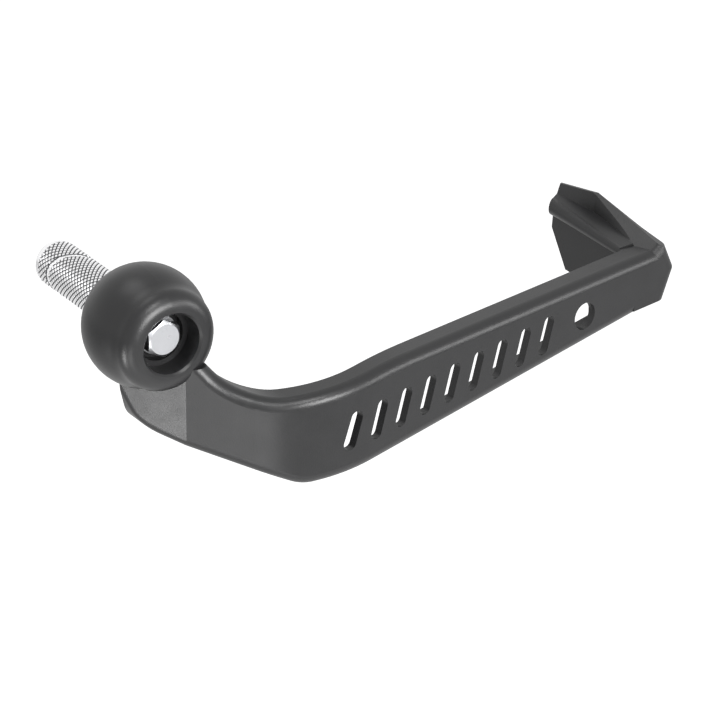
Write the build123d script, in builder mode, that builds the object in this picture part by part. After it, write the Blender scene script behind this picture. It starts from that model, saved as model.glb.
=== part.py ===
from build123d import *
from math import atan, cos, degrees, radians, sin, sqrt, tan
import os

# Brake lever guard for a handlebar end, in millimetres.
# X runs out along the bar, Y is forward, Z is up. The origin is the middle of the face that meets the bar.

# Ball end
ball_radius = 17.9
ball_centre_x = 13.3
lip_radius = 4.7
lip_stand = 1.79
lip_flat = 1.6
waist_radius = 9.0
recess_radius = 9.0
ledge_depth = 2.3
ledge_radius = 7.4
seat_depth = 2.9
bar_seat = 0.3
bar_seat_radius = 8.0
rim_chamfer = 0.6
bolt_hole_radius = 3.3

# Arm, a channel open on its inner side
arm_top = -15.0
arm_depth = 8.3
arm_face_x = 57.9
tip_face_x = 24.37
root_angle = 38.0
root_x = 33.5
root_y = 12.5
root_back = 31.0
root_turn = 20.0
crease_back = 10.0
elbow_radius = 42.0
elbow_y = 32.5
elbow_bottom = -45.9
neck_y = 19.0
neck_top = -19.6
neck_radius = 18.0
rise_y = 62.0
rise_radius = 150.0
collar_y = 11.5
collar_top = -9.4
toe_y = -7.2
toe_bottom = -17.0
heel_y = -3.0
heel_bottom = -30.3
heel_radius = 11.0
elbow_bottom_radius = 12.0
tip_bottom = -31.4
edge_radius = 3.2
plate = 2.5
flange = 2.4
channel_start = 12.0
channel_stop = 24.5
arm_stop = 3.5

# Row of openings in the arm's face
slot_count = 9
slot_to_eye = 16.2
slot_height = 12.0
slot_width = 4.0
slot_lean = 18.0
slot_first = 48.0
slot_drop = 18.8
slot_rise = 0.056
eye_radius = 4.2
eye_set = 31.5

# Wing at the tip
tip_y = 172.5
wing_sweep = 8.5
wing_end_x = -20.4
wing_peak_x = -4.6
wing_peak_z = -6.8
wing_land_x = 26.0
wing_land_z = -11.8
wing_lip_z = -8.8
wing_lip = 0.8
wing_depth = 11.5
wing_nose = 5.4
wing_nose_end = 0.8
wing_nose_z = -22.5
wing_brow = 0.7
wing_foot_set = 6.2
wing_rake = 2.5
wing_foot = -35.0
bead_in = 0.2
bead_z = -14.2
bead_radius = 3.0
bead_corner_z = -16.2
bead_corner_radius = 1.5
bead_flat = 0.15
pocket_end_x = 17.3
pocket_close = 0.9
pocket_fall = 6.6
floor_rise = 0.4
pocket_set = 0.8
pocket_set_end = 2.0
crease_z = -17.0
end_slant = 3.5
end_rake = 12.0
end_rake_z = -18.5
land_in_set = 7.6
land_out_set = 3.6
land_rear_set = 7.3
brow_fall = 0.218
brow_tilt = 0.35

# Hex bolt and washer
thread_radius = 2.95
bolt_length = 55.0
bolt_chamfer = 0.6
head_flats = 10.0
head_height = 4.0
head_face_radius = 4.55
head_chamfer = 0.7
washer_radius = 6.1
washer_hole = 3.2
washer_thick = 1.6
washer_chamfer = 0.25
seat_gap = 0.05

# Wedge expander
insert_radius = 7.0
insert_length = 38.0
insert_chamfer = 1.0
seam_x = -24.9
seam_slope = 0.743
seam_gap = 0.06
seam_bevel = 0.4
tapped_radius = 3.0

# Lip round the recess, where it stands out of the ball, and the steps down to the washer's seat
lip_ring_radius = recess_radius + lip_flat
lip_x = ball_centre_x + sqrt((ball_radius - lip_radius + lip_stand) ** 2 - lip_ring_radius**2)
ledge_x = lip_x - ledge_depth
seat_x = ledge_x - seat_depth

# Places towards the tip, measured back from its front
arm_yaw = degrees(atan((arm_face_x - tip_face_x) / tip_y))
arm_end = tip_y - arm_stop
channel_end = tip_y - channel_stop
eye_place = tip_y - eye_set
slot_pitch = (eye_place - slot_to_eye - slot_first) / (slot_count - 1)
wing_rear_y = tip_y - wing_depth
bead_y = wing_rear_y + bead_in
land_in_y = tip_y - land_in_set
land_out_y = tip_y - land_out_set
land_rear_y = tip_y - land_rear_set


# Plan of the arm's outer face, moved inward by a distance: elbow corner and where the long face meets y = 0
def arm_corner(inward):
    slope = tan(radians(arm_yaw))
    face_x = arm_face_x - inward / cos(radians(arm_yaw))
    across = sin(radians(root_angle))
    ahead = cos(radians(root_angle))
    start_x = root_x - inward * ahead
    start_y = root_y + inward * across
    run = (face_x - slope * start_y - start_x) / (across + slope * ahead)
    return (start_x + run * across, start_y + run * ahead), face_x


outer_elbow, outer_face_x = arm_corner(0)
arm_slope = tan(radians(arm_yaw))
outer_end = (outer_face_x - arm_slope * arm_end, arm_end)
crease_x = root_x - crease_back * sin(radians(root_angle))
crease_y = root_y - crease_back * cos(radians(root_angle))
toe_run = root_back - crease_back
outer_root = (
    crease_x - toe_run * sin(radians(root_angle + root_turn)),
    crease_y - toe_run * cos(radians(root_angle + root_turn)),
)
sweep_slope = tan(radians(wing_sweep))
lip_slope = (wing_peak_z - wing_lip_z) / (wing_peak_x - wing_end_x)

os.makedirs("parts", exist_ok=True)

# Space inside the arm: from the back of the face plate out through the open inner side, between the flanges
with BuildPart() as channel:
    plate_elbow, plate_face_x = arm_corner(plate)
    plate_end = (plate_face_x - arm_slope * channel_end, channel_end)
    plate_begin = (
        plate_elbow[0] - (plate_elbow[1] - channel_start) * tan(radians(root_angle)),
        channel_start,
    )
    with BuildSketch(Plane.XY.offset(elbow_bottom)):
        with BuildLine():
            FilletPolyline(plate_begin, plate_elbow, plate_end, radius=elbow_radius - plate)
            offset(amount=arm_depth, side=Side.LEFT)
        make_face()
    extrude(amount=arm_top - elbow_bottom)
    with BuildSketch(Plane.YZ.offset(wing_end_x)):
        with BuildLine():
            Polyline(
                (heel_y, heel_bottom + flange),
                (elbow_y, elbow_bottom + flange),
                (tip_y, tip_bottom + flange),
                (tip_y, arm_top - flange),
                (rise_y, arm_top - flange),
                (neck_y, neck_top - flange),
                close=True,
            )
        make_face()
    extrude(amount=100, mode=Mode.INTERSECT)

# Pocket in the wing's rear: a floor in front of the bead and a wall up to the wing's edge
bead_start = Vector(wing_end_x - end_slant, bead_y, bead_z)
bead_line = Vector(pocket_end_x + plate, bead_y, bead_corner_z) - bead_start
with BuildPart() as pocket:
    for pocket_x in (wing_end_x - end_slant, wing_peak_x, pocket_end_x):
        share = (pocket_x - bead_start.X) / bead_line.X
        inboard = max(0, (wing_peak_x - pocket_x) / (wing_peak_x - wing_end_x))
        fall = max(0, (pocket_x - wing_peak_x) / (pocket_end_x - wing_peak_x))
        edge_y = tip_y - sweep_slope * (wing_land_x - min(pocket_x, wing_peak_x))
        wall_y = edge_y - wing_lip - pocket_close * fall
        wall_z = wing_peak_z - (wing_peak_z - wing_lip_z) * inboard - pocket_fall * fall
        bead_drop = bead_line.Z + bead_corner_radius - bead_radius
        bead_top = bead_z + bead_radius + bead_drop * share - bead_flat
        floor_y = wall_y - pocket_set - (pocket_set_end - pocket_set) * inboard
        with BuildSketch(Plane.YZ.offset(pocket_x)):
            with BuildLine():
                Polyline(
                    (bead_y - 2 * bead_radius, bead_top),
                    (bead_y, bead_top),
                    (floor_y, bead_top + floor_rise),
                    (wall_y, wall_z),
                    (wall_y, ball_radius),
                    (bead_y - 2 * bead_radius, ball_radius),
                    close=True,
                )
            make_face()
    loft(ruled=True)

# Space over the land, the flat that falls from the wing's peak to the top of the arm
with BuildPart() as over_land:
    land_in_x = outer_face_x - arm_depth / cos(radians(arm_yaw)) - arm_slope * land_in_y
    land_in = Vector(land_in_x, land_in_y, arm_top)
    land_out = Vector(outer_face_x - arm_slope * land_out_y, land_out_y, arm_top)
    land_peak = Vector(wing_peak_x, tip_y - sweep_slope * (wing_land_x - wing_peak_x), wing_peak_z)
    land_across = land_out - land_in
    with BuildSketch(Plane.XY.offset(tip_bottom)):
        with Locations((wing_end_x, land_rear_y)):
            Rectangle(4 * wing_land_x, tip_y - channel_end, align=(Align.CENTER, Align.MIN))
        with Locations((pocket_end_x + plate, land_rear_y)):
            Rectangle(wing_land_x, land_rear_y - channel_end, align=(Align.MIN, Align.MAX))
    extrude(amount=ball_radius - tip_bottom)
    split(bisect_by=Plane(land_in, land_across, land_across.cross(land_peak - land_in)), keep=Keep.TOP)
    with BuildSketch(Plane.XY.offset(arm_top)):
        with Locations((pocket_end_x, land_rear_y)):
            Rectangle(wing_land_x, land_rear_y - channel_end, align=(Align.MIN, Align.MAX))
    extrude(amount=ball_radius - arm_top)

# Wing: ruled between a free-end section and a corner section, then trimmed to its outline
with BuildPart() as wing:
    for wing_x in (wing_end_x - end_slant, wing_land_x + end_slant):
        share = (wing_x - wing_end_x) / (wing_land_x - wing_end_x)
        front_y = tip_y - sweep_slope * (wing_land_x - wing_x)
        brow_z = wing_lip_z - wing_brow + (wing_land_z - wing_lip_z) * share
        nose_y = front_y + wing_nose_end + (wing_nose - wing_nose_end) * share
        with BuildSketch(Plane.YZ.offset(wing_x)):
            with BuildLine():
                Polyline(
                    (wing_rear_y, ball_radius),
                    (front_y, ball_radius),
                    (front_y, brow_z),
                    (nose_y, wing_nose_z),
                    (nose_y - wing_foot_set, wing_foot),
                    (wing_rear_y - wing_rake, wing_foot),
                    (wing_rear_y, crease_z),
                    close=True,
                )
            make_face()
    loft(ruled=True)
    with Locations(Plane(bead_start, z_dir=bead_line)):
        Cone(
            bead_radius,
            bead_corner_radius,
            bead_line.length,
            align=(Align.CENTER, Align.CENTER, Align.MIN),
        )
    with BuildSketch(Plane.XZ):
        with BuildLine():
            Polyline(
                (wing_end_x - end_slant, wing_lip_z - lip_slope * end_slant),
                (wing_peak_x, wing_peak_z),
                (2 * wing_land_x, wing_peak_z),
                (2 * wing_land_x, tip_bottom),
                (wing_end_x + end_rake, tip_bottom),
                (wing_end_x - end_slant, end_rake_z + end_slant * (end_rake_z - tip_bottom) / end_rake),
                close=True,
            )
        make_face()
    extrude(amount=-tip_y - 40, mode=Mode.INTERSECT)
    tip_limit = tip_y + 2 * wing_nose
    end_front = tip_y - sweep_slope * (wing_land_x - wing_end_x)
    end_lean = end_slant / (end_front - wing_rear_y + wing_rake)
    with BuildSketch(Plane.XY.offset(elbow_bottom)):
        with BuildLine():
            Polyline(
                (outer_face_x - arm_slope * channel_end, channel_end),
                (outer_face_x - arm_slope * tip_limit, tip_limit),
                (wing_end_x - end_lean * (tip_limit - end_front), tip_limit),
                (wing_end_x + end_lean * (end_front - channel_end), channel_end),
                close=True,
            )
        make_face()
    extrude(amount=60, mode=Mode.INTERSECT)
    add(pocket.part, mode=Mode.SUBTRACT)
    add(over_land.part, mode=Mode.SUBTRACT)

    # Rounded corner, from the land down round the nose
    outer_plane = Plane(origin=outer_end + (0,), z_dir=(1, arm_slope, 0))

    def at_corner(edge):
        off = max(abs(outer_plane.to_local_coords(edge @ u).Z) for u in (0, 0.5, 1))
        middle = edge @ 0.5
        return off < 0.01 and middle.Y > wing_rear_y and middle.Z > tip_bottom + 1

    fillet(wing.edges().filter_by(at_corner), edge_radius)

    # Brow: the front edge eased back from the peak to the corner
    split(bisect_by=Plane(land_peak, z_dir=(brow_fall, brow_tilt, 1)), keep=Keep.BOTTOM)

# Guard moulding: ball end, arm and wing in one piece
with BuildPart() as guard_body:
    # Arm blank, drawn in plan and trimmed to its side outline
    with BuildLine() as face_line:
        FilletPolyline(
            outer_root,
            (crease_x, crease_y),
            outer_elbow,
            outer_end,
            radius=(0, elbow_radius),
        )
    with BuildSketch(Plane.XY.offset(collar_top)):
        with BuildLine():
            add(face_line.line)
            offset(amount=arm_depth, side=Side.LEFT)
        make_face()
    extrude(amount=elbow_bottom - collar_top - 1)
    with BuildSketch(Plane.YZ.offset(wing_end_x)):
        with BuildLine():
            FilletPolyline(
                (toe_y, collar_top),
                (toe_y, toe_bottom),
                (heel_y, heel_bottom),
                (elbow_y, elbow_bottom),
                (tip_y, tip_bottom),
                (tip_y, arm_top),
                (rise_y, arm_top),
                (neck_y, neck_top),
                (collar_y, collar_top),
                close=True,
                radius=(0, 0, heel_radius, elbow_bottom_radius, 0, 0, rise_radius, neck_radius, 0),
            )
        make_face()
    extrude(amount=120, mode=Mode.INTERSECT)

    # Rounded outer edges, top and bottom
    def on_face(edge):
        feet = [Vertex((edge @ u).X, (edge @ u).Y, 0) for u in (0.1, 0.5, 0.9)]
        spread = max(face_line.line.distance_to(foot) for foot in feet)
        return spread < 0.02 and edge.bounding_box().size.Z < 0.6 * edge.length

    upper = guard_body.edges().filter_by(on_face).filter_by_position(Axis.Y, collar_y - 1, arm_end)
    fillet(upper.filter_by_position(Axis.Z, neck_top, collar_top), edge_radius)
    lower = guard_body.edges().filter_by(on_face).filter_by_position(Axis.Y, toe_y, arm_end)
    fillet(lower.filter_by_position(Axis.Z, elbow_bottom - 1, heel_bottom + 3), edge_radius)

    # Channel behind the face plate
    add(channel.part, mode=Mode.SUBTRACT)

    # Wing
    add(wing.part)

    # Openings through the face plate
    face_plane = Plane(
        origin=(outer_face_x, 0, arm_top),
        x_dir=(-sin(radians(arm_yaw)), cos(radians(arm_yaw)), 0),
        z_dir=(cos(radians(arm_yaw)), sin(radians(arm_yaw)), 0),
    )
    with BuildSketch(face_plane):
        for index in range(slot_count):
            along = slot_first + index * slot_pitch
            with Locations((along, -slot_drop + slot_rise * along)):
                SlotOverall(slot_height, slot_width, rotation=90 - slot_lean)
        with Locations((eye_place, -slot_drop + slot_rise * eye_place)):
            Circle(eye_radius)
    extrude(amount=-plate - 2, mode=Mode.SUBTRACT)

    # Ball end, turned about the bar's axis
    with BuildSketch(Plane.XZ) as ball_profile:
        with Locations((ball_centre_x, 0)):
            Circle(ball_radius)
        with Locations((lip_x, lip_ring_radius), (lip_x, -lip_ring_radius)):
            Circle(lip_radius)
        waist = ball_profile.vertices().filter_by_position(Axis.X, ball_centre_x, lip_x)
        fillet(waist.group_by(Axis.X)[0], waist_radius)
        with Locations((lip_x, 0)):
            Rectangle(2 * lip_radius, 2 * lip_ring_radius)
        Rectangle(lip_x + lip_radius, 2 * ball_radius, align=(Align.MIN, Align.MIN), mode=Mode.INTERSECT)
        with Locations((ledge_x, 0)):
            Rectangle(ball_radius, recess_radius, align=(Align.MIN, Align.MIN), mode=Mode.SUBTRACT)
        rim = ball_profile.vertices().filter_by_position(Axis.X, lip_x, lip_x + ball_radius)
        chamfer(rim.sort_by(Axis.Y)[0], length=rim_chamfer)
        with Locations((seat_x, 0)):
            Rectangle(ball_radius, ledge_radius, align=(Align.MIN, Align.MIN), mode=Mode.SUBTRACT)
        Rectangle(seat_x, bolt_hole_radius, align=(Align.MIN, Align.MIN), mode=Mode.SUBTRACT)
        Rectangle(bar_seat, bar_seat_radius, align=(Align.MIN, Align.MIN), mode=Mode.SUBTRACT)
    revolve(axis=Axis.X)
    with BuildSketch(Plane.YZ.offset(ledge_x)):
        Circle(recess_radius)
    extrude(amount=lip_x - ledge_x, mode=Mode.SUBTRACT)

# Washer under the bolt head
with BuildPart() as washer:
    with BuildSketch(Plane.YZ.offset(seat_x)):
        Circle(washer_radius)
        Circle(washer_hole, mode=Mode.SUBTRACT)
    extrude(amount=washer_thick)
    face_rims = washer.edges().filter_by(GeomType.CIRCLE).group_by(Axis.X)[-1]
    chamfer(face_rims.sort_by(SortBy.RADIUS)[-1], length=washer_chamfer)

# Hex bolt, chamfered head and plain thread diameter
head_x = seat_x + washer_thick + seat_gap
with BuildPart() as hex_bolt:
    with BuildSketch(Plane.YZ.offset(head_x)):
        RegularPolygon(head_flats / 2, 6, major_radius=False, rotation=30)
    extrude(amount=head_height)
    with BuildSketch(Plane.XZ):
        with BuildLine():
            Polyline(
                (head_x, 0),
                (head_x + head_height, 0),
                (head_x + head_height, head_face_radius),
                (head_x + head_height - head_chamfer, head_face_radius + head_chamfer / tan(radians(30))),
                (head_x, head_face_radius + head_chamfer / tan(radians(30))),
                close=True,
            )
        make_face()
    revolve(axis=Axis.X, mode=Mode.INTERSECT)
    with BuildSketch(Plane.YZ.offset(head_x)):
        Circle(thread_radius)
    extrude(amount=-bolt_length)
    chamfer(hex_bolt.edges().filter_by(GeomType.CIRCLE).sort_by(Axis.X)[0], length=bolt_chamfer)

# Wedge expander: the sleeve by the ball and the tapped wedge at the far end meet on a slanting face
seam_out = Plane(origin=(seam_x, 0, 0), x_dir=(0, 0, 1), z_dir=(1, -seam_slope, 0))
seam_axis = Axis(seam_out.origin, seam_out.z_dir)
with BuildPart() as expander_sleeve:
    with BuildSketch(Plane.YZ.offset(bar_seat)):
        Circle(insert_radius)
        Circle(bolt_hole_radius, mode=Mode.SUBTRACT)
    extrude(amount=-insert_length)
    split(bisect_by=seam_out, keep=Keep.TOP)
    seam_rim = expander_sleeve.faces().filter_by(GeomType.PLANE).sort_by(seam_axis)[0]
    chamfer(seam_rim.outer_wire().edges(), length=seam_bevel)

with BuildPart() as expander_wedge:
    with BuildSketch(Plane.YZ):
        Circle(insert_radius)
        Circle(tapped_radius, mode=Mode.SUBTRACT)
    extrude(amount=-insert_length)
    far_rim = expander_wedge.edges().filter_by(GeomType.CIRCLE).group_by(Axis.X)[0]
    chamfer(far_rim.sort_by(SortBy.RADIUS)[-1], length=insert_chamfer)
    split(bisect_by=seam_out.offset(-seam_gap), keep=Keep.BOTTOM)
    seam_rim = expander_wedge.faces().filter_by(GeomType.PLANE).sort_by(seam_axis)[-1]
    chamfer(seam_rim.outer_wire().edges(), length=seam_bevel)

guard_body.part.label = "guard_body"
hex_bolt.part.label = "hex_bolt"
washer.part.label = "washer"
expander_sleeve.part.label = "expander_sleeve"
expander_wedge.part.label = "expander_wedge"
export_step(guard_body.part, "parts/guard_body.step")
export_step(hex_bolt.part, "parts/hex_bolt.step")
export_step(washer.part, "parts/washer.step")
export_step(expander_sleeve.part, "parts/expander_sleeve.step")
export_step(expander_wedge.part, "parts/expander_wedge.step")
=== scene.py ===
import math

import bmesh
import bpy
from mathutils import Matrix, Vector


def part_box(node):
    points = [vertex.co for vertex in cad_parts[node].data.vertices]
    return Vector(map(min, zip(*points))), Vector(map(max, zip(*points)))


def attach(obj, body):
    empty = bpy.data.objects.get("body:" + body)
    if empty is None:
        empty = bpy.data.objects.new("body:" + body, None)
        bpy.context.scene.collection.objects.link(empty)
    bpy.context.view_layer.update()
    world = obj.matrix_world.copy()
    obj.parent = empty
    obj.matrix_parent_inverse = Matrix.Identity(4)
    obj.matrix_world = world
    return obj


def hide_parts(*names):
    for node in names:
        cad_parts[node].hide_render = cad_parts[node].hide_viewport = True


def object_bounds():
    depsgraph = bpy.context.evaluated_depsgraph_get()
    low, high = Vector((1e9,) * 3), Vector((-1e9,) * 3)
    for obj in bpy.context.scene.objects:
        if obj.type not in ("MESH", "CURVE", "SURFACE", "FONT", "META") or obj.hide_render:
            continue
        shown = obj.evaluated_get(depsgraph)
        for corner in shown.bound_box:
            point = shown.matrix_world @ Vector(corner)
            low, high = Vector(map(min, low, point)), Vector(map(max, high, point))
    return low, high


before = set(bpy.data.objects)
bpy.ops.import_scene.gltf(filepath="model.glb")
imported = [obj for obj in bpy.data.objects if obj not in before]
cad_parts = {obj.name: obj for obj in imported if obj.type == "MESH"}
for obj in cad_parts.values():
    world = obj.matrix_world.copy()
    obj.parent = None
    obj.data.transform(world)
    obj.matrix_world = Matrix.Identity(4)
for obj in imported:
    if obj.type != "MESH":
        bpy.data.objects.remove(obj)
cad_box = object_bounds()
scene = bpy.context.scene

# Guard moulding.
# One piece of black glass-filled nylon: the ball end over the bar, the channel arm in front of the lever
# and the wing at the tip. It is injection moulded in a tool with a fine spark-eroded skin.


def linear(hex_code):
    """Linear RGBA of an sRGB hex colour."""
    parts = [int(hex_code[i:i + 2], 16) / 255 for i in (1, 3, 5)]
    return (*[p / 12.92 if p <= 0.04045 else ((p + 0.055) / 1.055) ** 2.4 for p in parts], 1.0)


def add(material, kind, inputs, **settings):
    """Adds one node to a material: its settings, then each input as a value or as another node's output."""
    made = material.node_tree.nodes.new(kind)
    for key, value in settings.items():
        setattr(made, key, value)
    for key, value in inputs.items():
        if isinstance(value, bpy.types.NodeSocket):
            material.node_tree.links.new(value, made.inputs[key])
        else:
            made.inputs[key].default_value = value
    return made


def new_material(name):
    """An empty node material."""
    material = bpy.data.materials.new(name)
    material.use_nodes = True
    material.node_tree.nodes.clear()
    return material


# Moulded glass-filled nylon: a dark satin grey. Fibres at the skin make it faintly cloudy, and the
# spark-eroded tool leaves an even grain that breaks up every highlight. The real grain is too fine to show,
# so it is drawn several times coarser.
nylon = new_material("glass_filled_nylon_moulded")
nylon_grain_mm = 0.45
nylon_grain_depth_mm = 0.06
nylon_cloud_mm = 7.0
place = add(nylon, "ShaderNodeTexCoord", {})
grain = add(nylon, "ShaderNodeTexNoise", {
    "Vector": place.outputs["Object"], "Scale": 1000 / nylon_grain_mm, "Detail": 2.0, "Roughness": 0.55})
cloud = add(nylon, "ShaderNodeTexNoise", {
    "Vector": place.outputs["Object"], "Scale": 1000 / nylon_cloud_mm, "Detail": 4.0, "Roughness": 0.6})
tone = add(nylon, "ShaderNodeMix", {
    "Factor": cloud.outputs["Fac"], "A": linear("#161617"), "B": linear("#1B1B1C")}, data_type="RGBA")
gloss = add(nylon, "ShaderNodeMapRange", {
    "Value": cloud.outputs["Fac"], "From Min": 0.3, "From Max": 0.7, "To Min": 0.33, "To Max": 0.38})
bump = add(nylon, "ShaderNodeBump", {
    "Height": grain.outputs["Fac"], "Strength": 0.4, "Distance": nylon_grain_depth_mm / 1000})
skin = add(nylon, "ShaderNodeBsdfPrincipled", {
    "Base Color": tone.outputs[2], "Roughness": gloss.outputs["Result"], "IOR": 1.53,
    "Specular IOR Level": 0.44, "Normal": bump.outputs["Normal"]})
add(nylon, "ShaderNodeOutputMaterial", {"Surface": skin.outputs["BSDF"]})
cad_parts["guard_body"].material_slots[0].material = nylon

# Washer.
# A plain M6 washer of stainless steel, stamped and barrelled, loose on the floor of the recess under the
# bolt head.

# Barrel-polished stainless steel: grey and softly bright, with rings about the bolt's axis where the head has
# turned on it. They are drawn wider than real ones so that they show.
washer_steel = new_material("stainless_steel_barrelled")
washer_ring_mm = 0.25
washer_ring_depth_mm = 0.04
place = add(washer_steel, "ShaderNodeTexCoord", {})
apart = add(washer_steel, "ShaderNodeSeparateXYZ", {"Vector": place.outputs["Object"]})
flat = add(washer_steel, "ShaderNodeCombineXYZ", {"Y": apart.outputs["Y"], "Z": apart.outputs["Z"]})
radius = add(washer_steel, "ShaderNodeVectorMath", {0: flat.outputs["Vector"]}, operation="LENGTH")
ring = add(washer_steel, "ShaderNodeTexNoise", {
    "W": radius.outputs["Value"], "Scale": 1000 / washer_ring_mm, "Detail": 2.0}, noise_dimensions="1D")
bump = add(washer_steel, "ShaderNodeBump", {
    "Height": ring.outputs["Fac"], "Strength": 0.4, "Distance": washer_ring_depth_mm / 1000})
skin = add(washer_steel, "ShaderNodeBsdfPrincipled", {
    "Base Color": linear("#B9BABC"), "Metallic": 1.0, "Roughness": 0.32, "Normal": bump.outputs["Normal"]})
add(washer_steel, "ShaderNodeOutputMaterial", {"Surface": skin.outputs["BSDF"]})
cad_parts["washer"].material_slots[0].material = washer_steel

# Bolt.
# An M6 hexagon bolt of stainless steel, cold headed, with its corners turned off at the face and a rolled
# right-hand thread. It runs through the ball and the sleeve and draws the wedge up.

# Sizes in millimetres, here and for the sleeve and the wedge. mesh_object scales them to metres.
head_flats = 10.0
head_face_radius = 4.55
head_height = 4.0
head_bevel_degrees = 30.0
head_steps = 96
plain_shank = 20.0
end_bevel = 0.6
thread_pitch = 1.0
crest_radius = 2.95
groove_radius = 2.42
steps_per_turn = 32
bolt_sharp_degrees = 25.0
tolerance = 1e-4
bolt_low, bolt_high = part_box("hex_bolt")
bolt_end = bolt_low.x * 1000
head_top = bolt_high.x * 1000
head_base = head_top - head_height
thread_start = head_base - plain_shank


def mesh_object(name, bm, material, sharp_degrees):
    """A linked object from a bmesh in millimetres, scaled to metres, smooth up to a sharp angle."""
    bmesh.ops.dissolve_degenerate(bm, dist=tolerance, edges=bm.edges)
    bmesh.ops.scale(bm, vec=(0.001, 0.001, 0.001), verts=bm.verts)
    bmesh.ops.recalc_face_normals(bm, faces=bm.faces)
    for face in bm.faces:
        face.smooth = True
    mesh = bpy.data.meshes.new(name)
    bm.to_mesh(mesh)
    bm.free()
    mesh.set_sharp_from_angle(angle=math.radians(sharp_degrees))
    mesh.materials.append(material)
    made = bpy.data.objects.new(name, mesh)
    scene.collection.objects.link(made)
    return made


def open_edges(bm, point, normal):
    """The open edges of a bmesh that lie in a plane."""
    centre = Vector(point)
    out = Vector(normal).normalized()

    def in_plane(vert):
        return abs((vert.co - centre).dot(out)) < tolerance

    return [edge for edge in bm.edges if edge.is_boundary and all(in_plane(vert) for vert in edge.verts)]


def cut(bm, point, normal):
    """Cuts a bmesh off past a plane and returns the edges left open there."""
    geometry = bm.verts[:] + bm.edges[:] + bm.faces[:]
    bmesh.ops.bisect_plane(
        bm, geom=geometry, plane_co=point, plane_no=normal, clear_outer=True, dist=tolerance / 100)
    return open_edges(bm, point, normal)


def grow(bm, edges, radius, x_of):
    """Carries open edges on to a ring of that radius, whose X follows from each point's Y."""
    made = bmesh.ops.extrude_edge_only(bm, edges=edges)["geom"]
    new_edges = [item for item in made if isinstance(item, bmesh.types.BMEdge)]
    for vert in {vert for edge in new_edges for vert in edge.verts}:
        angle = math.atan2(vert.co.z, vert.co.y)
        y = radius * math.cos(angle)
        vert.co = (x_of(y), y, radius * math.sin(angle))
    return new_edges


def fill_ring(bm, point, normal):
    """Closes the flat ring between the two open loops in a plane."""
    bmesh.ops.triangle_fill(bm, edges=open_edges(bm, point, normal), use_beauty=True)


def screw_thread(bm, start, end, crest, groove):
    """Adds a right-hand thread's skin about X, running on past both its start and its end."""
    # Each point of the profile: its place as a share of the pitch, and its radius
    profile = [(0.0, groove), (0.14, groove), (0.42, crest), (0.58, crest), (0.86, groove)]
    first = math.floor(end / thread_pitch) - 2
    turns = math.ceil(start / thread_pitch) + 2 - first
    rows = []
    for step in range(turns * steps_per_turn + 1):
        angle = 2 * math.pi * step / steps_per_turn
        advance = first + step / steps_per_turn
        rows.append([bm.verts.new(((advance + part) * thread_pitch, r * math.cos(angle), r * math.sin(angle)))
                     for part, r in profile])
    for step in range(len(rows) - 1):
        for k in range(len(profile) - 1):
            bm.faces.new((rows[step][k], rows[step][k + 1], rows[step + 1][k + 1], rows[step + 1][k]))
        if step + steps_per_turn + 1 < len(rows):
            above = step + steps_per_turn
            bm.faces.new((rows[step][-1], rows[above][0], rows[above + 1][0], rows[step + 1][-1]))


bolt_mesh = bmesh.new()
screw_thread(bolt_mesh, thread_start, bolt_end, crest_radius, groove_radius)
# The end of the thread is bevelled at 45 degrees.
for vert in bolt_mesh.verts:
    limit = crest_radius - end_bevel + max(vert.co.x - bolt_end, 0)
    reach = math.hypot(vert.co.y, vert.co.z)
    if reach > limit:
        vert.co.y *= limit / reach
        vert.co.z *= limit / reach
bmesh.ops.edgeloop_fill(bolt_mesh, edges=cut(bolt_mesh, (bolt_end, 0, 0), (-1, 0, 0)))
shank_edges = cut(bolt_mesh, (thread_start, 0, 0), (1, 0, 0))
shank_edges = grow(bolt_mesh, shank_edges, crest_radius, lambda y: thread_start)
grow(bolt_mesh, shank_edges, crest_radius, lambda y: head_base)
# The head: a hexagon at its base, the same hexagon where the turned corners begin, and the round face.
loops = []
for level in ("base", "shoulder", "face"):
    loop = []
    for index in range(head_steps):
        angle = 2 * math.pi * index / head_steps
        hexagon = head_flats / 2 / math.cos((angle + math.pi / 6) % (math.pi / 3) - math.pi / 6)
        ring_radius = min(hexagon, head_face_radius) if level == "face" else hexagon
        fall = max(hexagon - head_face_radius, 0) * math.tan(math.radians(head_bevel_degrees))
        x = {"base": head_base, "shoulder": head_top - fall, "face": head_top}[level]
        loop.append(bolt_mesh.verts.new((x, ring_radius * math.cos(angle), ring_radius * math.sin(angle))))
    loops.append(loop)
for lower, upper in zip(loops, loops[1:]):
    for index in range(head_steps):
        after = (index + 1) % head_steps
        bolt_mesh.faces.new((lower[index], lower[after], upper[after], upper[index]))
bolt_mesh.faces.new(loops[-1])
fill_ring(bolt_mesh, (head_base, 0, 0), (1, 0, 0))

# Bright stainless steel, cold headed and passivated: a pale silver, with a faint mottle in its gloss.
bolt_steel = new_material("stainless_steel_bright")
bolt_mottle_mm = 2.5
place = add(bolt_steel, "ShaderNodeTexCoord", {})
mottle = add(bolt_steel, "ShaderNodeTexNoise", {
    "Vector": place.outputs["Object"], "Scale": 1000 / bolt_mottle_mm, "Detail": 2.0})
gloss = add(bolt_steel, "ShaderNodeMapRange", {
    "Value": mottle.outputs["Fac"], "From Min": 0.3, "From Max": 0.7, "To Min": 0.27, "To Max": 0.30})
skin = add(bolt_steel, "ShaderNodeBsdfPrincipled", {
    "Base Color": linear("#C8C9CC"), "Metallic": 1.0, "Roughness": gloss.outputs["Result"]})
add(bolt_steel, "ShaderNodeOutputMaterial", {"Surface": skin.outputs["BSDF"]})
bolt = mesh_object("hex_bolt_threaded", bolt_mesh, bolt_steel, bolt_sharp_degrees)
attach(bolt, "bolt")
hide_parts("hex_bolt")

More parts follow.
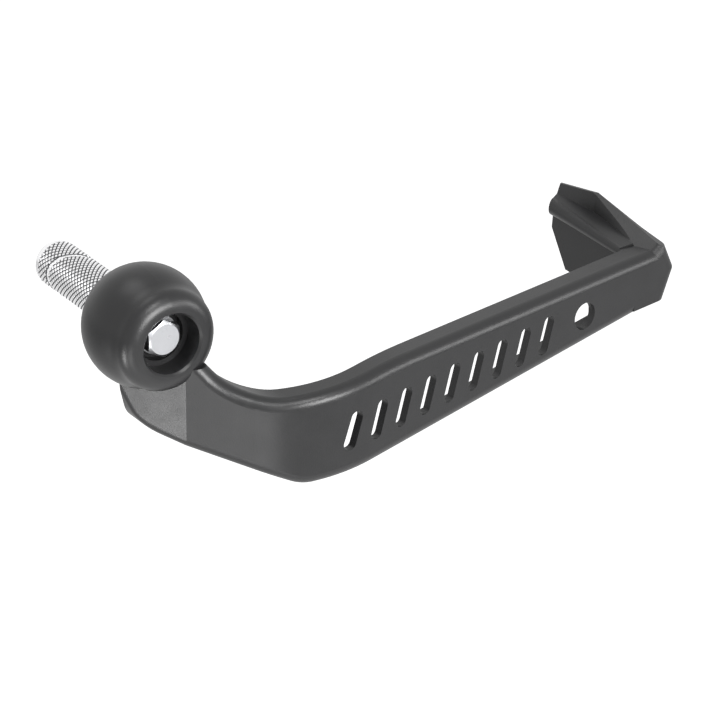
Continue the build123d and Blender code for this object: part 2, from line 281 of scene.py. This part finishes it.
# Expander sleeve.
# The half of the bar insert next to the ball, a knurled aluminium tube with a plain bore and a slanting end
# for the wedge. Turned and knurled from bar, then sawn through at the slant and deburred.
insert_radius = 7.0
sleeve_bore = 3.3
knurl_starts = 26
knurl_depth = 0.36
knurl_flat_share = 0.48
knurl_helix_degrees = 45.0
knurl_sharp_degrees = 20.0
# Plain surfaces lie this far or more below the grooves, which is how the material tells them apart
# and keeps the painted groove shade off them.
plain_step = 0.05
# The seam's plane: its X on the axis, what X gains for each millimetre of Y, and the gap across it.
seam_x = -24.9
seam_slope = 0.743
seam_gap = 0.06
seam_bevel = 0.4
seam_set = 2 * seam_bevel
seam_radius = insert_radius - knurl_depth - seam_bevel
sleeve_low, sleeve_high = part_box("expander_sleeve")
sleeve_end = sleeve_low.x * 1000
sleeve_top = sleeve_high.x * 1000


def knurled_tube(bm, start, end):
    """Adds a tube of diamond knurl about X: each diamond a flat-topped pyramid between crossing grooves."""
    wide = 2 * math.pi / knurl_starts
    tall = insert_radius * wide / math.tan(math.radians(knurl_helix_degrees))
    rows = range(math.floor(end / tall * 2) - 1, math.ceil(start / tall * 2) + 2)
    low = insert_radius - knurl_depth

    def ring_point(x, angle, radius):
        return (x, radius * math.cos(angle), radius * math.sin(angle))

    crossing = {}
    for row in rows:
        for index in range(knurl_starts):
            angle = (index + (row % 2) / 2) * wide
            crossing[row, index] = bm.verts.new(ring_point(row * tall / 2, angle, low))
    for row in rows[1:-1]:
        odd = row % 2
        for index in range(knurl_starts):
            middle = (index + odd / 2 + 0.5) * wide
            x = row * tall / 2
            beside = (index + odd) % knurl_starts
            corners = [crossing[row, index], crossing[row - 1, beside],
                       crossing[row, (index + 1) % knurl_starts], crossing[row + 1, beside]]
            top = [bm.verts.new(ring_point(x, middle - wide / 2 * knurl_flat_share, insert_radius)),
                   bm.verts.new(ring_point(x - tall / 2 * knurl_flat_share, middle, insert_radius)),
                   bm.verts.new(ring_point(x, middle + wide / 2 * knurl_flat_share, insert_radius)),
                   bm.verts.new(ring_point(x + tall / 2 * knurl_flat_share, middle, insert_radius))]
            bm.faces.new(top)
            for k in range(4):
                bm.faces.new((corners[k], corners[(k + 1) % 4], top[(k + 1) % 4], top[k]))


# Bright knurled aluminium: the crests and the plain bevels shine; the grooves between are rougher, and their
# bottoms are painted dark grey as shade. Each share is a depth below the crests, as a part of the knurl's
# depth.
aluminium = new_material("aluminium_bright_knurled")
groove_shade_share = 0.70
bright_share = 0.10
place = add(aluminium, "ShaderNodeTexCoord", {})
apart = add(aluminium, "ShaderNodeSeparateXYZ", {"Vector": place.outputs["Object"]})
flat = add(aluminium, "ShaderNodeCombineXYZ", {"Y": apart.outputs["Y"], "Z": apart.outputs["Z"]})
radius = add(aluminium, "ShaderNodeVectorMath", {0: flat.outputs["Vector"]}, operation="LENGTH")
crest = add(aluminium, "ShaderNodeMapRange", {
    "Value": radius.outputs["Value"], "From Min": (insert_radius - groove_shade_share * knurl_depth) / 1000,
    "From Max": (insert_radius - bright_share * knurl_depth) / 1000})
bevel = add(aluminium, "ShaderNodeMapRange", {
    "Value": radius.outputs["Value"], "From Min": (insert_radius - knurl_depth) / 1000,
    "From Max": (insert_radius - knurl_depth - plain_step) / 1000})
bright = add(aluminium, "ShaderNodeMath", {
    0: crest.outputs["Result"], 1: bevel.outputs["Result"]}, operation="MAXIMUM")
# Painted shade: groove bottoms mix towards dark grey, while crests and plain faces keep the aluminium's
# colour.
tone = add(aluminium, "ShaderNodeMix", {
    "Factor": bright.outputs[0], "A": linear("#37383B"), "B": linear("#F6F6F7")}, data_type="RGBA")
gloss = add(aluminium, "ShaderNodeMapRange", {
    "Value": bright.outputs[0], "To Min": 0.58, "To Max": 0.28})
skin = add(aluminium, "ShaderNodeBsdfPrincipled", {
    "Base Color": tone.outputs[2], "Metallic": 1.0, "Roughness": gloss.outputs["Result"]})
add(aluminium, "ShaderNodeOutputMaterial", {"Surface": skin.outputs["BSDF"]})

sleeve_mesh = bmesh.new()
knurled_tube(sleeve_mesh, sleeve_top, sleeve_end)
cut(sleeve_mesh, (sleeve_top, 0, 0), (1, 0, 0))
slant_edges = cut(sleeve_mesh, (seam_x + seam_set, 0, 0), (-1, seam_slope, 0))
slant_edges = grow(sleeve_mesh, slant_edges, seam_radius, lambda y: seam_x + seam_slope * y)
bore_edges = grow(sleeve_mesh, slant_edges, sleeve_bore, lambda y: seam_x + seam_slope * y)
grow(sleeve_mesh, bore_edges, sleeve_bore, lambda y: sleeve_top)
fill_ring(sleeve_mesh, (sleeve_top, 0, 0), (1, 0, 0))
sleeve = mesh_object("expander_sleeve_knurled", sleeve_mesh, aluminium, knurl_sharp_degrees)
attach(sleeve, "guard")
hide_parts("expander_sleeve")

# Expander wedge.
# The far half of the bar insert, cut from the same knurled bar, tapped M6 and chamfered at its end. It slides
# up the sleeve's slanting face and jams in the bar as the bolt draws it in.
tapped_play = 0.05
end_chamfer = 1.0
plain_end = 1.6
plain_radius = insert_radius - knurl_depth - plain_step
wedge_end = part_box("expander_wedge")[0].x * 1000
plain_start = wedge_end + end_chamfer + plain_end
wedge_seam_x = seam_x - seam_gap * math.hypot(1, seam_slope)
wedge_out = (1, -seam_slope, 0)

# The thread and the knurl both start at X = 0, well past the seam, and are cut back to it.
wedge_mesh = bmesh.new()
screw_thread(wedge_mesh, 0.0, wedge_end, crest_radius + tapped_play, groove_radius + tapped_play)
mouth_edges = cut(wedge_mesh, (wedge_end + end_bevel, 0, 0), (-1, 0, 0))
cut(wedge_mesh, (wedge_seam_x, 0, 0), wedge_out)
mouth_edges = grow(wedge_mesh, mouth_edges, crest_radius + tapped_play, lambda y: wedge_end + end_bevel)
grow(wedge_mesh, mouth_edges, crest_radius + end_bevel, lambda y: wedge_end)

shell_mesh = bmesh.new()
knurled_tube(shell_mesh, 0.0, wedge_end)
far_edges = cut(shell_mesh, (plain_start, 0, 0), (-1, 0, 0))
near_edges = cut(shell_mesh, (wedge_seam_x - seam_set, 0, 0), wedge_out)
far_edges = grow(shell_mesh, far_edges, plain_radius, lambda y: plain_start)
far_edges = grow(shell_mesh, far_edges, plain_radius, lambda y: wedge_end + end_chamfer)
grow(shell_mesh, far_edges, insert_radius - end_chamfer, lambda y: wedge_end)
grow(shell_mesh, near_edges, seam_radius, lambda y: wedge_seam_x + seam_slope * y)
wedge_shell = bpy.data.meshes.new("wedge_shell")
shell_mesh.to_mesh(wedge_shell)
shell_mesh.free()
wedge_mesh.from_mesh(wedge_shell)
bpy.data.meshes.remove(wedge_shell)
fill_ring(wedge_mesh, (wedge_end, 0, 0), (1, 0, 0))
fill_ring(wedge_mesh, (wedge_seam_x, 0, 0), wedge_out)
wedge = mesh_object("expander_wedge_knurled", wedge_mesh, aluminium, knurl_sharp_degrees)
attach(wedge, "wedge")
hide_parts("expander_wedge")

# Studio.
# A plain white floor well below the part, a white room, six softboxes that light the part mostly from the
# front and above, and a camera with a long lens.

# Sizes in metres from here on.
floor_drop = 0.50
floor_half = 6.0
floor_grid = bmesh.new()
bmesh.ops.create_grid(floor_grid, x_segments=1, y_segments=1, size=floor_half)
floor_mesh = bpy.data.meshes.new("floor")
floor_grid.to_mesh(floor_mesh)
floor_grid.free()
floor = bpy.data.objects.new("floor", floor_mesh)
scene.collection.objects.link(floor)
floor.location.z = cad_box[0].z - floor_drop

# Matt white paper: lit as a diffuse surface, with enough of its own white for the camera to leave no grey.
# The stretch that the part mirrors lies nearer the lamps and needs less.
paper = new_material("paper_matt_white")
paper_glow_seen = 0.92
paper_glow_mirrored = 0.50
seen = add(paper, "ShaderNodeLightPath", {})
direct = add(paper, "ShaderNodeMath", {
    0: seen.outputs["Is Camera Ray"], 1: seen.outputs["Is Transmission Ray"]}, operation="MAXIMUM")
mirrored = add(paper, "ShaderNodeMath", {
    0: seen.outputs["Is Glossy Ray"], 1: paper_glow_mirrored}, operation="MULTIPLY")
glow = add(paper, "ShaderNodeMath", {
    0: direct.outputs[0], 1: paper_glow_seen, 2: mirrored.outputs[0]}, operation="MULTIPLY_ADD")
sheet = add(paper, "ShaderNodeBsdfPrincipled", {
    "Base Color": linear("#F2F2F2"), "Roughness": 0.9, "Specular IOR Level": 0.0,
    "Emission Color": linear("#FFFFFF"), "Emission Strength": glow.outputs[0]})
add(paper, "ShaderNodeOutputMaterial", {"Surface": sheet.outputs["BSDF"]})
floor_mesh.materials.append(paper)

# White room: dim as a light, but white where the camera or a shiny surface sees it.
room_light = 0.10
room_white = 1.0
world = bpy.data.worlds.new("studio")
scene.world = world
world.use_nodes = True
world.node_tree.nodes.clear()
seen = add(world, "ShaderNodeLightPath", {})
direct = add(world, "ShaderNodeMath", {
    0: seen.outputs["Is Camera Ray"], 1: seen.outputs["Is Glossy Ray"]}, operation="MAXIMUM")
shown = add(world, "ShaderNodeMath", {
    0: direct.outputs[0], 1: seen.outputs["Is Transmission Ray"]}, operation="MAXIMUM")
level = add(world, "ShaderNodeMapRange", {
    "Value": shown.outputs[0], "To Min": room_light, "To Max": room_white})
sky = add(world, "ShaderNodeBackground", {"Color": linear("#FFFFFF"), "Strength": level.outputs["Result"]})
add(world, "ShaderNodeOutputWorld", {"Surface": sky.outputs["Background"]})

# Softboxes: the direction from lamp_target, then distance, width and height in metres, and power in watts.
lamp_target = Vector((0.03, 0.08, -0.02))
lamps = {
    "softbox_key": ((0.97, 0.06, 0.24), 1.0, 0.56, 0.42, 12.48),
    "softbox_upper": ((0.60, -0.15, 0.78), 1.1, 0.32, 0.32, 3.90),
    "softbox_right": ((0.64, 0.75, 0.14), 1.1, 0.30, 0.45, 3.38),
    "softbox_low": ((0.66, -0.62, -0.44), 0.8, 0.30, 0.30, 1.04),
    "softbox_top": ((-0.30, -0.20, 0.93), 1.1, 0.50, 0.50, 1.35),
    "softbox_left": ((0.11, -0.89, -0.44), 0.6, 0.12, 0.12, 1.04),
}
for lamp_name, (way, away, width, height, power) in lamps.items():
    spot = lamp_target + away * Vector(way).normalized()
    lamp = bpy.data.lights.new(lamp_name, "AREA")
    lamp.shape = "RECTANGLE"
    lamp.size = width
    lamp.size_y = height
    lamp.energy = power
    lamp_object = bpy.data.objects.new(lamp_name, lamp)
    lamp_object.location = spot
    lamp_object.rotation_mode = "QUATERNION"
    lamp_object.rotation_quaternion = (lamp_target - spot).to_track_quat("-Z", "Y")
    scene.collection.objects.link(lamp_object)

# Camera: far off on a long lens, so that parallel edges stay nearly parallel in the picture.
camera_place = (1.1053, -0.6322, 0.6039)
camera_azimuth = math.radians(57.2)
camera_elevation = math.radians(26.0)
back = Vector((
    math.sin(camera_azimuth) * math.cos(camera_elevation),
    -math.cos(camera_azimuth) * math.cos(camera_elevation),
    math.sin(camera_elevation),
))
camera_data = bpy.data.cameras.new("camera")
camera_data.lens = 250
camera_data.sensor_width = 36
camera = bpy.data.objects.new("camera", camera_data)
camera.location = camera_place
camera.rotation_mode = "QUATERNION"
camera.rotation_quaternion = (-back).to_track_quat("-Z", "Y")
scene.collection.objects.link(camera)
scene.camera = camera
scene.view_settings.view_transform = "Standard"
